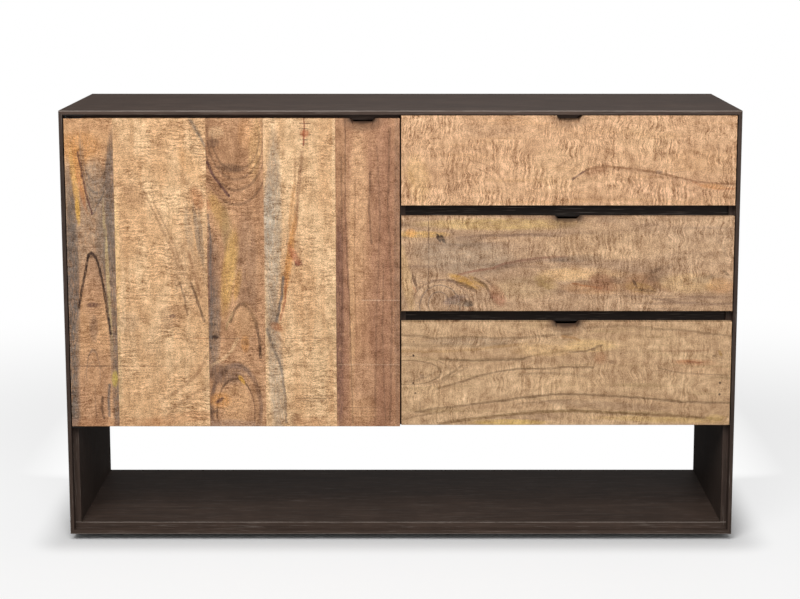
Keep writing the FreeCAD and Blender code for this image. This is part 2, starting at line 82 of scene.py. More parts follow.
# ------------------------------------------------------------------------------ node helpers
class Graph:
    """A material's node tree with short calls for the nodes that the patterns use."""

    def __init__(self, name):
        self.material = bpy.data.materials.new(name)
        self.material.use_nodes = True
        self.tree = self.material.node_tree
        self.tree.nodes.clear()
        self.output = self.tree.nodes.new("ShaderNodeOutputMaterial")
        self.shader = self.tree.nodes.new("ShaderNodeBsdfPrincipled")
        self.tree.links.new(self.shader.outputs["BSDF"], self.output.inputs["Surface"])
        self.position = self.new("ShaderNodeTexCoord").outputs["Object"]

    def new(self, kind, **values):
        node = self.tree.nodes.new(kind)
        for key, value in values.items():
            setattr(node, key, value)
        return node

    def put(self, socket, value):
        if isinstance(value, bpy.types.NodeSocket):
            self.tree.links.new(value, socket)
        elif value is not None:
            socket.default_value = value

    def math(self, operation, a, b=None, c=None, clamp=False):
        node = self.new("ShaderNodeMath", operation=operation, use_clamp=clamp)
        for socket, value in zip(node.inputs, (a, b, c)):
            self.put(socket, value)
        return node.outputs[0]

    def vector(self, operation, a, b=None, c=None, out=0):
        node = self.new("ShaderNodeVectorMath", operation=operation)
        for socket, value in zip(node.inputs, (a, b, c)):
            self.put(socket, value)
        return node.outputs[out]

    def split(self, vector):
        return self.at(self.new("ShaderNodeSeparateXYZ"), vector).outputs

    def join(self, x=0.0, y=0.0, z=0.0):
        node = self.new("ShaderNodeCombineXYZ")
        for socket, value in zip(node.inputs, (x, y, z)):
            self.put(socket, value)
        return node.outputs[0]

    def at(self, node, vector):
        self.put(node.inputs[0], vector)
        return node

    def noise(self, vector, detail=2.0, roughness=0.5, distortion=0.0, colour=False):
        node = self.new("ShaderNodeTexNoise", noise_dimensions="3D")
        self.put(node.inputs["Vector"], vector)
        self.put(node.inputs["Scale"], 1.0)
        self.put(node.inputs["Detail"], detail)
        self.put(node.inputs["Roughness"], roughness)
        self.put(node.inputs["Distortion"], distortion)
        return node.outputs["Color" if colour else "Fac"]

    def stretched(self, vector, sizes, shift=0.0):
        """The vector in units of the given grain sizes."""
        scale = tuple(1.0 / size for size in sizes)
        return self.vector("MULTIPLY_ADD", vector, scale, (shift, shift * 1.7, shift * 0.6))

    def ramp(self, value, low, high, bottom=0.0, top=1.0, smooth=True):
        node = self.new("ShaderNodeMapRange", interpolation_type="SMOOTHSTEP" if smooth else "LINEAR")
        for socket, number in zip(node.inputs, (value, low, high, bottom, top)):
            self.put(socket, number)
        return node.outputs[0]

    def mix(self, factor, a, b, blend="MIX"):
        node = self.new("ShaderNodeMix", data_type="RGBA", blend_type=blend, clamp_factor=True)
        self.put(node.inputs["Factor"], factor)
        self.put(node.inputs[6], a if isinstance(a, bpy.types.NodeSocket) else (*a, 1.0))
        self.put(node.inputs[7], b if isinstance(b, bpy.types.NodeSocket) else (*b, 1.0))
        return node.outputs[2]

    def scaled(self, colour, amount):
        node = self.new("ShaderNodeVectorMath", operation="SCALE")
        self.put(node.inputs[0], colour)
        self.put(node.inputs["Scale"], amount)
        return node.outputs[0]

    def bump(self, height, strength, distance):
        node = self.new("ShaderNodeBump")
        self.put(node.inputs["Strength"], strength)
        self.put(node.inputs["Distance"], distance)
        self.put(node.inputs["Height"], height)
        return node.outputs["Normal"]

    def finish(self, colour, roughness, normal=None, **sockets):
        self.put(self.shader.inputs["Base Color"], colour)
        self.put(self.shader.inputs["Roughness"], roughness)
        self.put(self.shader.inputs["Normal"], normal)
        for name, value in sockets.items():
            self.shader.inputs[name.replace("_", " ")].default_value = value
        return self.material


def swing(graph, noise, amount):
    """A factor that swings about one by the amount, from a noise about one half."""
    return graph.math("MULTIPLY_ADD", noise, 2.0 * amount, 1.0 - amount)


# ------------------------------------------------------------------------------ marks in the wood
class Face:
    """Millimetres across and down a front, warped a little, on which marks are drawn."""

    def __init__(self, graph, left, top, wander, seed):
        self.graph = graph
        across = graph.math("MULTIPLY_ADD", graph.split(graph.position)[0], MM, -left * MM)
        down = graph.math("MULTIPLY_ADD", graph.split(graph.position)[2], -MM, top * MM)
        self.plain = graph.join(across, down, 1.0)
        slow = graph.noise(graph.stretched(self.plain, (22, 22, 22), seed), 3.0, 0.6, colour=True)
        push = graph.vector("SUBTRACT", slow, (0.5, 0.5, 0.5))
        spread = graph.vector("MULTIPLY", push, (2 * wander, 2 * wander, 0.0))
        self.warped = graph.vector("ADD", self.plain, spread)

    def axes(self, x, y, long, wide, angle, straight=False):
        """Distances from a point along and across a direction, in units of long and wide."""
        turn = math.radians(angle)
        spot = self.plain if straight else self.warped
        pair = []
        for (step_x, step_y), size in (((math.cos(turn), math.sin(turn)), long),
                                       ((-math.sin(turn), math.cos(turn)), wide)):
            weights = (step_x / size, step_y / size, -(x * step_x + y * step_y) / size)
            pair.append(self.graph.vector("DOT_PRODUCT", spot, weights, out=1))
        return pair

    def squared(self, along, across):
        """The sum of two squares."""
        graph = self.graph
        return graph.math("MULTIPLY_ADD", along, along, graph.math("MULTIPLY", across, across))

    def blot(self, x, y, long, wide, angle=0.0, soft=0.7):
        """A soft ellipse: half length, half width, angle clockwise from level."""
        far = self.squared(*self.axes(x, y, long, wide, angle))
        return self.graph.ramp(far, (1.0 + soft / 2) ** 2, (1.0 - soft / 2) ** 2)

    def ring(self, x, y, long, wide, angle=0.0, line=0.12, open_end=0.0):
        """The outline of an ellipse, left open beyond a share of its half length."""
        graph = self.graph
        along, across = self.axes(x, y, long, wide, angle)
        off = graph.math("ABSOLUTE", graph.math("SUBTRACT", self.squared(along, across), 1.0))
        mark = graph.ramp(off, 2.0 * line, 0.5 * line)
        return graph.math("MULTIPLY", mark, graph.ramp(along, open_end + 0.3, open_end - 0.2))

    def vein(self, points, width=1.2, soft=0.8, straight=False):
        """A line through points, as the nearest of its straight runs."""
        graph = self.graph
        nearest = None
        for (ax, ay), (bx, by) in zip(points, points[1:]):
            half = math.hypot(bx - ax, by - ay) / 2
            angle = math.degrees(math.atan2(by - ay, bx - ax))
            along, across = self.axes((ax + bx) / 2, (ay + by) / 2, 1.0, 1.0, angle, straight)
            past = graph.math("SUBTRACT", graph.math("ABSOLUTE", along), half)
            gap = self.squared(graph.math("MAXIMUM", past, 0.0), across)
            nearest = gap if nearest is None else graph.math("MINIMUM", nearest, gap)
        return graph.ramp(nearest, (width * (1 + soft)) ** 2, (width * (1 - soft)) ** 2)


# ------------------------------------------------------------------------------ mango wood
CREAM, TAN, PEACH = (0.74, 0.515, 0.31), (0.58, 0.345, 0.18), (0.68, 0.44, 0.27)
BROWN, RUST, UMBER = (0.33, 0.175, 0.092), (0.40, 0.155, 0.06), (0.13, 0.07, 0.042)
GREY, SLATE, GOLD = (0.30, 0.225, 0.165), (0.17, 0.135, 0.115), (0.66, 0.37, 0.08)
PURPLE, ORANGE, OLIVE = (0.13, 0.06, 0.05), (0.62, 0.29, 0.085), (0.36, 0.25, 0.125)
DUSK, INK = (0.22, 0.135, 0.095), (0.045, 0.024, 0.018)


def mango(name, base, face_left, face_top, upright, marks, pull=None, seed=0.0, ripple=1.0, flow=0.5,
          speckle=1.0, pull_strength=1.0):
    """Figured wood. base is (light, mid, deep); marks is a list of (kind, args, colour, strength)."""
    finish = bpy.context.scene.sideboard_finish
    graph = Graph(name)
    face = Face(graph, face_left, face_top, 2.6, seed)
    x, y, _ = graph.split(face.warped)
    depth = graph.math("MULTIPLY", graph.split(graph.position)[1], MM)
    across, along = (x, y) if upright else (y, x)
    grain = graph.join(across, along, depth)
    light, mid, deep = base

    patches = graph.noise(graph.stretched(grain, (34, 150, 60), seed + 1.3), 3.0, 0.55)
    colour = graph.mix(graph.ramp(patches, 0.36, 0.62), light, mid)
    drifts = graph.noise(graph.stretched(grain, (11, 210, 40), seed + 4.1), 2.0, 0.5)
    colour = graph.mix(graph.math("MULTIPLY", graph.ramp(drifts, 0.52, 0.74), 0.55), colour, deep)
    # growth rings: fine uneven lines that run with the grain
    sway = graph.noise(graph.stretched(grain, (55, 260, 90), seed + 7.7), 2.0, 0.5)
    rings = graph.math("MULTIPLY_ADD", sway, 46.0, graph.math("MULTIPLY", across, 1 / 7.5))
    wave = graph.math("PINGPONG", rings, 0.5)
    lines = graph.ramp(wave, 0.10, 0.0)
    fade = graph.ramp(graph.noise(graph.stretched(grain, (26, 90, 40), seed + 2.9), 2.0), 0.42, 0.66)
    colour = graph.mix(graph.math("MULTIPLY", graph.math("MULTIPLY", lines, fade), flow), colour,
                       tuple(0.45 * part for part in deep))

    fleck = graph.noise(graph.stretched(grain, (2.6, 15.0, 8.0), seed + 12.0), 3.0, 0.7)
    broken = graph.ramp(fleck, 0.34, 0.56, 0.45, 1.0)
    drawn = {"blot": face.blot, "ring": face.ring, "vein": face.vein}
    for kind, arguments, tint, strength in marks:
        mark = drawn[kind](**arguments)
        cover = min(1.0, strength * (1.05 if kind == "blot" else 1.3))
        colour = graph.mix(graph.math("MULTIPLY", graph.math("MULTIPLY", mark, cover), broken), colour, tint)

    # cross figure: short wavy bands square to the grain, in patches
    curl = graph.noise(graph.stretched(grain, (26, 70, 60), seed + 5.2), 2.0)
    waved = graph.math("MULTIPLY_ADD", curl, 16.0 if upright else 26.0, along)
    square = graph.join(across, waved, depth)
    bands = graph.noise(graph.stretched(square, (26 if upright else 62, 4.0, 30), seed + 6.4), 2.0, 0.6)
    fine = graph.noise(graph.stretched(square, (5.5 if upright else 9.0, 1.4, 20), seed + 3.3), 2.0, 0.65)
    spread = graph.noise(graph.stretched(grain, (60, 80, 80), seed + 8.8), 1.0)
    where = graph.ramp(spread, 0.35, 0.6, 0.35, 1.0)
    mottle = graph.noise(graph.stretched(grain, (15, 24, 30), seed + 2.2), 3.0, 0.6)
    figure = graph.ramp(bands, 0.33, 0.67)
    figure = graph.math("MULTIPLY_ADD", graph.ramp(fine, 0.36, 0.62), 0.9, figure)
    figure = graph.math("SUBTRACT", figure, 0.97)
    figure = graph.math("MULTIPLY", figure, graph.math("MULTIPLY", where, 0.54 * ripple * finish.figure))
    figure = graph.math("ADD", figure, graph.math("MULTIPLY_ADD", mottle, 1.35, -0.675))
    # pores and speckle
    pores = graph.noise(graph.stretched(grain, (1.1, 7.0, 4.0), seed + 9.1), 2.0, 0.7)
    pore_mark = graph.ramp(pores, 0.58, 0.72)
    grit = graph.noise(graph.stretched(face.plain, (1.5, 1.5, 1.5), seed), 2.0, 0.75)
    lightness = graph.math("ADD", figure, swing(graph, grit, 1.5 * speckle))
    lightness = graph.math("MULTIPLY_ADD", pore_mark, -0.38, lightness)
    # dark flecks are browner than the wood around them
    darker = graph.math("SUBTRACT", lightness, 1.0)
    tinted = graph.vector("MULTIPLY_ADD", graph.join(darker, darker, darker), (0.86, 1.02, 1.16),
                          (1.0, 1.0, 1.0))
    colour = graph.vector("MULTIPLY", colour, (1.01, 0.94, 0.86))
    colour = graph.vector("MULTIPLY", colour, graph.vector("MAXIMUM", tinted, (0.12, 0.10, 0.08)))
    # darker colour in the finger pull, strongest in its hollow and fading into the board below it
    if pull:
        pull_x, pull_y = pull
        hollow = face.blot(pull_x, pull_y, 29, 12, soft=0.55)
        # the colour mixed into the pull's hollow and, fainter, below it
        stain = tuple(finish.pull_darkening)
        colour = graph.mix(graph.math("MULTIPLY", hollow, pull_strength), colour, stain)
        halo = face.blot(pull_x, pull_y + 4, 34, 19, soft=1.0)
        colour = graph.mix(graph.math("MULTIPLY", halo, 0.6 * pull_strength), colour, UMBER)
    height = graph.math("MULTIPLY_ADD", pore_mark, -0.6, figure)
    height = graph.math("MULTIPLY_ADD", grit, 0.35, height)
    normal = graph.bump(height, 0.35 * finish.relief, 0.0006)
    rough = graph.math("MULTIPLY_ADD", grit, 0.22, 0.48)
    return graph.finish(colour, rough, normal, Specular_IOR_Level=0.22)


def blot(x, y, long, wide, tint, strength, angle=0.0, soft=0.8):
    return "blot", dict(x=x, y=y, long=long, wide=wide, angle=angle, soft=soft), tint, strength


def ring(x, y, long, wide, tint, strength, angle=0.0, line=0.12, open_end=0.2):
    place = dict(x=x, y=y, long=long, wide=wide, angle=angle, line=line, open_end=open_end)
    return "ring", place, tint, strength


def vein(points, tint, strength, width=1.3, soft=0.8):
    return "vein", dict(points=points, width=width, soft=soft), tint, strength


def saw_line(y, x0, x1, strength=0.5, tint=UMBER):
    """A single stray saw mark across an upright board."""
    return "vein", dict(points=[(x0, y), (x1, y)], width=0.8, soft=0.7, straight=True), tint, strength


# millimetres across and down from the door's upper left corner
PLANK_1 = [
    blot(45, 40, 70, 62, TAN, 0.75),
    blot(30, 60, 30, 40, ORANGE, 0.45, 90),
    blot(88, 170, 150, 16, SLATE, 0.75, 98),
    blot(60, 140, 52, 22, GREY, 0.75, 90),
    blot(52, 240, 90, 60, GREY, 0.7, 90),
    blot(6, 190, 90, 12, GREY, 0.8, 90),
    blot(8, 420, 260, 14, SLATE, 0.95, 91, 0.5),
    blot(9, 620, 60, 9, SLATE, 0.7, 92),
    blot(20, 130, 62, 6, (0.64, 0.37, 0.12), 0.8, 84, 0.9),
    blot(24, 190, 26, 4, (0.75, 0.45, 0.10), 0.8, 86),
    blot(30, 110, 55, 8, ORANGE, 0.6, 80),
    blot(33, 150, 40, 4, RUST, 0.55, 78),
    vein([(28, 70), (36, 120), (45, 165), (54, 198)], PURPLE, 0.75, 1.6),
    vein([(80, 150), (70, 172), (56, 198)], SLATE, 0.65, 1.4),
    ring(64, 60, 95, 30, SLATE, 0.5, -90, 0.05, 0.1),
    ring(64, 50, 120, 32, SLATE, 0.45, -90, 0.04, 0.1),
    ring(64, 60, 70, 26, SLATE, 0.4, -90, 0.06, 0.1),
    ring(64, 50, 85, 29, SLATE, 0.35, -90, 0.05, 0.1),
    blot(94, 430, 300, 11, SLATE, 0.8, 89, 0.5),
    blot(83, 330, 140, 3.5, (0.50, 0.38, 0.20), 0.8, 88),
    vein([(79, 230), (76, 300), (82, 400), (87, 470)], SLATE, 0.55, 1.6),
    blot(52, 470, 110, 30, TAN, 0.7, 90),
    blot(50, 350, 70, 20, (0.46, 0.27, 0.16), 0.75, 90),
    vein([(22, 395), (30, 350), (38, 312), (44, 284), (50, 278), (58, 286), (66, 310), (74, 350), (80,
         400), (86, 450)], INK, 0.9, 2.3, 0.6),
    blot(52, 284, 9, 5, INK, 0.7),
    blot(51, 389, 12, 5, PURPLE, 0.75),
    blot(51, 440, 26, 8, DUSK, 0.6, 90),
    ring(48, 540, 55, 14, SLATE, 0.7, 90, 0.10, 0.2),
    ring(50, 560, 50, 22, SLATE, 0.35, 90, 0.07, 0.2),
    blot(52, 570, 90, 34, (0.50, 0.29, 0.17), 0.6, 90),
    blot(93, 547, 16, 6, (0.55, 0.42, 0.08), 0.7, 90),
    vein([(81, 560), (78, 590), (79, 625)], SLATE, 0.7, 2.2),
    vein([(66, 585), (64, 612), (67, 632)], UMBER, 0.7, 1.8),
    vein([(50, 560), (53, 640)], DUSK, 0.3, 1.2),
    saw_line(519, 8, 100, 0.75),
    blot(40, 645, 80, 12, RUST, 0.25),
]
PLANK_2 = [
    vein([(260, 5), (275, 30), (290, 58)], SLATE, 0.55, 2.0),
    blot(268, 18, 26, 5, GREY, 0.4, 60),
    blot(138, 156, 30, 16, BROWN, 0.38, 60),
    blot(195, 110, 60, 22, TAN, 0.4, 20),
    blot(272, 165, 24, 13, RUST, 0.6, 70),
    blot(262, 100, 40, 16, ORANGE, 0.25, 60),
    blot(269, 232, 50, 4.5, GREY, 0.75, 84),
    blot(278, 250, 60, 4, SLATE, 0.5, 86),
    blot(252, 225, 45, 8, GREY, 0.4, 84),
    vein([(157, 140), (180, 190), (205, 245), (232, 310)], BROWN, 0.42, 2.0),
    vein([(172, 150), (196, 205), (222, 262), (243, 330)], BROWN, 0.35, 1.6),
    blot(255, 330, 75, 36, BROWN, 0.38, 68),
    vein([(250, 275), (262, 320), (275, 372)], BROWN, 0.55, 2.2),
    vein([(232, 342), (242, 375), (246, 410)], UMBER, 0.55, 1.8),
    vein([(255, 342), (268, 380), (282, 424)], UMBER, 0.6, 2.0),
    blot(218, 410, 30, 20, BROWN, 0.48, 150),
    blot(215, 412, 6, 3.5, PURPLE, 0.85),
    blot(200, 435, 28, 8, BROWN, 0.35, 160),
    saw_line(368, 100, 290, 0.45, BROWN),
    saw_line(417, 104, 230, 0.3, BROWN),
    saw_line(460, 225, 290, 0.6, RUST),
    saw_line(519, 100, 290, 0.5, BROWN),
    blot(245, 485, 44, 20, CREAM, 0.5, 90),
    blot(160, 470, 40, 26, BROWN, 0.15),
    vein([(186, 595), (225, 570), (262, 540), (285, 500)], BROWN, 0.4, 3.0),
    vein([(205, 612), (245, 590), (290, 560)], BROWN, 0.3, 4.0),
    blot(225, 632, 80, 12, RUST, 0.35, 172),
    blot(140, 640, 60, 10, RUST, 0.22),
    blot(104, 290, 120, 4, (0.80, 0.56, 0.28), 0.6, 90),
    saw_line(60, 100, 290, 0.2, BROWN),
    blot(103, 500, 100, 4, OLIVE, 0.45, 90),
    blot(120, 425, 26, 20, SLATE, 0.2),
]
PLANK_3 = [
    blot(325, 70, 80, 44, BROWN, 0.62, 80),
    blot(306, 50, 12, 9, UMBER, 0.7),
    blot(340, 102, 26, 8, UMBER, 0.65, 5),
    blot(312, 28, 14, 12, CREAM, 0.5),
    blot(392, 60, 60, 12, (0.56, 0.36, 0.14), 0.35, 95),
    blot(372, 30, 30, 14, ORANGE, 0.2, 90),
    ring(352, 40, 66, 48, UMBER, 0.4, -90, 0.06, 0.15),
    ring(352, 30, 95, 58, UMBER, 0.38, -90, 0.05, 0.15),
    ring(352, 30, 118, 66, UMBER, 0.45, -90, 0.04, 0.15),
    ring(352, 40, 138, 74, UMBER, 0.4, -90, 0.035, 0.15),
    vein([(292, 90), (305, 118), (322, 142), (337, 160)], PURPLE, 0.8, 2.0),
    blot(300, 145, 40, 14, BROWN, 0.6, 60),
    blot(298, 178, 14, 9, RUST, 0.5),
    blot(314, 190, 34, 10, (0.60, 0.37, 0.14), 0.75, 66, 1.0),
    blot(320, 206, 30, 14, (0.52, 0.32, 0.14), 0.6, 80, 1.0),
    blot(334, 250, 60, 10, OLIVE, 0.6, 84, 1.0),
    blot(334, 320, 78, 12, (0.62, 0.38, 0.13), 0.8, 97, 0.9),
    blot(345, 285, 44, 9, (0.58, 0.36, 0.14), 0.6, 95, 1.0),
    blot(352, 345, 30, 6, GOLD, 0.5, 100),
    blot(372, 330, 120, 20, DUSK, 0.45, 90),
    blot(296, 330, 80, 8, PURPLE, 0.75, 90),
    blot(300, 300, 60, 14, DUSK, 0.55, 88),
    blot(302, 440, 90, 12, SLATE, 0.7, 92),
    blot(301, 458, 9, 5, INK, 0.9),
    blot(299, 430, 6, 3, INK, 0.6),
    vein([(293, 200), (298, 260), (296, 330), (297, 400), (294, 480)], SLATE, 0.6, 2.0),
    vein([(336, 425), (345, 400), (355, 388), (364, 387), (376, 400), (388, 425), (395, 455), (398,
         500)], UMBER, 0.8, 2.4),
    vein([(326, 440), (340, 405)], OLIVE, 0.5, 2.0),
    blot(364, 425, 34, 22, TAN, 0.6, 90),
    blot(366, 472, 16, 8, ORANGE, 0.55, 90),
    blot(366, 470, 8, 5, UMBER, 0.4),
    vein([(292, 520), (318, 505), (336, 488), (350, 462)], CREAM, 0.55, 2.5),
    blot(322, 536, 40, 20, DUSK, 0.8, 10),
    ring(345, 610, 92, 52, DUSK, 0.8, 90, 0.12, 0.3),
    ring(345, 620, 74, 40, UMBER, 0.7, 90, 0.06, 0.3),
    blot(358, 549, 10, 4, GOLD, 0.8, 60),
    blot(345, 600, 40, 26, TAN, 0.7, 90),
    blot(385, 600, 70, 12, BROWN, 0.5, 90),
    blot(312, 592, 20, 15, ORANGE, 0.6),
    blot(311, 593, 9, 3.5, PURPLE, 0.95, -40),
    blot(297, 617, 10, 3, UMBER, 0.85, -10),
    blot(330, 645, 60, 10, (0.40, 0.27, 0.20), 0.6),
    saw_line(460, 300, 408, 0.35),
    saw_line(517, 340, 408, 0.25),
]
PLANK_4 = [
    blot(426, 230, 190, 17, (0.40, 0.33, 0.26), 0.75, 91, 0.6),
    blot(418, 210, 70, 11, (0.42, 0.37, 0.31), 0.6, 90),
    blot(430, 540, 140, 15, (0.42, 0.33, 0.25), 0.72, 88, 0.6),
    blot(422, 420, 60, 12, GREY, 0.55, 90),
    blot(414, 30, 60, 10, CREAM, 0.5, 90),
    blot(510, 60, 80, 12, CREAM, 0.6, 90),
    vein([(487, 70), (484, 110), (478, 160), (474, 215), (464, 255), (456, 300), (452, 350)], BROWN,
         0.62, 3.2),
    vein([(476, 90), (470, 150), (462, 220), (455, 262)], BROWN, 0.38, 2.0),
    blot(460, 290, 80, 7, ORANGE, 0.7, 98),
    blot(466, 190, 50, 5, ORANGE, 0.4, 95),
    vein([(493, 0), (492, 26), (491, 56)], (0.28, 0.07, 0.035), 0.8, 1.3),
    saw_line(10, 484, 504, 0.7),
    saw_line(21, 482, 500, 0.7),
    saw_line(33, 484, 506, 0.6),
    saw_line(44, 482, 499, 0.7),
    saw_line(52, 486, 500, 0.5),
    blot(494, 31, 9, 7, (0.42, 0.12, 0.05), 0.75),
    blot(478, 300, 7, 6, (0.10, 0.03, 0.03), 0.95),
    blot(470, 285, 22, 7, (0.42, 0.13, 0.07), 0.65, 60),
    blot(476, 262, 40, 6, BROWN, 0.35, 85),
    vein([(447, 330), (443, 370), (436, 405), (428, 430)], SLATE, 0.85, 2.4),
    vein([(452, 335), (450, 380), (440, 420)], (0.35, 0.12, 0.06), 0.6, 1.8),
    blot(433, 436, 13, 8, RUST, 0.75, 30),
    vein([(412, 440), (425, 480), (440, 520), (448, 580), (450, 640)], SLATE, 0.55, 2.2),
    vein([(432, 452), (446, 470), (458, 492)], BROWN, 0.35, 1.6),
    saw_line(588, 470, 545, 0.45),
    saw_line(594, 480, 530, 0.4),
    saw_line(582, 488, 550, 0.3),
    saw_line(460, 450, 556, 0.4, BROWN),
    saw_line(465, 462, 540, 0.25, BROWN),
    saw_line(517, 440, 556, 0.4, BROWN),
    blot(470, 634, 14, 9, BROWN, 0.6, 100),
    blot(500, 640, 30, 10, RUST, 0.3),
    blot(520, 500, 90, 16, OLIVE, 0.14, 90),
    vein([(515, 380), (512, 420), (510, 470)], BROWN, 0.2, 1.4),
    blot(553, 300, 330, 4.5, CREAM, 0.75, 90, 0.5),
    blot(545, 420, 60, 9, OLIVE, 0.2, 90),
]
PLANK_5 = [
    blot(562, 110, 120, 12, BROWN, 0.55, 90),
    blot(563, 430, 230, 9, (0.20, 0.10, 0.075), 0.85, 90, 0.5),
    blot(574, 420, 220, 8, (0.30, 0.15, 0.10), 0.6, 90),
    blot(601, 200, 170, 16, (0.68, 0.43, 0.25), 0.75, 91),
    blot(590, 420, 240, 5, (0.62, 0.38, 0.21), 0.8, 90),
    blot(602, 420, 220, 6, (0.55, 0.32, 0.18), 0.6, 90),
    blot(655, 320, 330, 26, (0.34, 0.175, 0.11), 0.7, 90),
    blot(683, 300, 330, 6, DUSK, 0.55, 90),
    vein([(577, 0), (576, 200), (584, 400), (590, 640)], UMBER, 0.45, 1.2),
    vein([(628, 110), (625, 180), (630, 260)], UMBER, 0.45, 1.6),
    vein([(612, 260), (616, 420), (608, 640)], BROWN, 0.45, 1.4),
    vein([(597, 120), (594, 300), (598, 460)], BROWN, 0.45, 1.2),
    vein([(568, 80), (570, 300), (566, 520)], UMBER, 0.4, 1.4),
    vein([(642, 60), (648, 200), (640, 400), (636, 640)], UMBER, 0.3, 1.6),
    vein([(668, 20), (664, 180), (672, 380), (668, 640)], UMBER, 0.35, 1.8),
    vein([(655, 300), (652, 460), (658, 640)], UMBER, 0.3, 1.4),
    saw_line(379, 610, 688, 0.45, (0.62, 0.45, 0.33)),
    saw_line(516, 560, 688, 0.45, (0.60, 0.42, 0.30)),
    blot(610, 560, 60, 20, (0.52, 0.31, 0.19), 0.6, 90),
    blot(612, 615, 24, 26, TAN, 0.4),
    saw_line(608, 570, 655, 0.3, UMBER),
    saw_line(616, 575, 650, 0.25, UMBER),
    saw_line(628, 590, 670, 0.25, UMBER),
]
# millimetres across and down from each drawer front's upper left corner
DRAWER_1 = [
    blot(22, 128, 16, 4, (0.42, 0.22, 0.06), 0.8, 72),
    blot(27, 142, 5, 2.5, RUST, 0.7, 80),
    blot(33, 158, 5, 2.5, RUST, 0.5, 80),
    blot(30, 130, 40, 16, CREAM, 0.5, 80),
    blot(107, 135, 28, 18, DUSK, 0.22, 60),
    blot(80, 110, 40, 20, BROWN, 0.16, 60),
    blot(180, 30, 60, 14, DUSK, 0.16),
    blot(330, 110, 60, 40, CREAM, 0.35),
    blot(112, 128, 42, 34, (0.47, 0.27, 0.15), 0.5),
    ring(150, 150, 52, 40, BROWN, 0.4, 205, 0.06, 0.3),
    ring(150, 150, 70, 54, BROWN, 0.3, 205, 0.05, 0.3),
    blot(35, 130, 44, 22, (0.66, 0.42, 0.20), 0.5, 80),
    ring(420, 168, 92, 52, BROWN, 0.3, 200, 0.035, 0.3),
    ring(430, 172, 118, 72, BROWN, 0.28, 205, 0.03, 0.3),
    blot(402, 112, 26, 7, (0.40, 0.20, 0.11), 0.6, 160),
    vein([(305, 114), (330, 100), (358, 84)], BROWN, 0.3, 1.2),
    vein([(330, 128), (365, 100), (400, 78)], BROWN, 0.22, 1.0),
    vein([(352, 132), (372, 118), (385, 112)], PURPLE, 0.75, 1.6),
    vein([(378, 114), (396, 107), (420, 105), (450, 107), (490, 112), (530, 118), (565, 126), (605,
         136), (640, 140), (688, 141)], BROWN, 0.75, 1.8),
    vein([(395, 110), (440, 108), (500, 116), (560, 128)], BROWN, 0.35, 4.0),
    vein([(600, 137), (625, 146), (655, 152), (688, 150)], RUST, 0.5, 1.8),
    blot(640, 146, 26, 5, ORANGE, 0.55, 4),
    blot(388, 122, 40, 12, BROWN, 0.30, 150),
    blot(530, 116, 6, 4, DUSK, 0.7),
    vein([(440, 132), (500, 134), (560, 142), (600, 156)], BROWN, 0.3, 1.6),
    vein([(520, 160), (560, 168)], BROWN, 0.25, 1.4),
    vein([(650, 60), (653, 100)], UMBER, 0.4, 1.0),
    vein([(660, 75), (661, 110)], UMBER, 0.25, 0.9),
    blot(500, 50, 50, 26, CREAM, 0.3),
    blot(610, 90, 60, 20, TAN, 0.4),
    blot(520, 30, 20, 16, PEACH, 0.5),
    blot(560, 150, 90, 20, (0.62, 0.38, 0.25), 0.3),
]
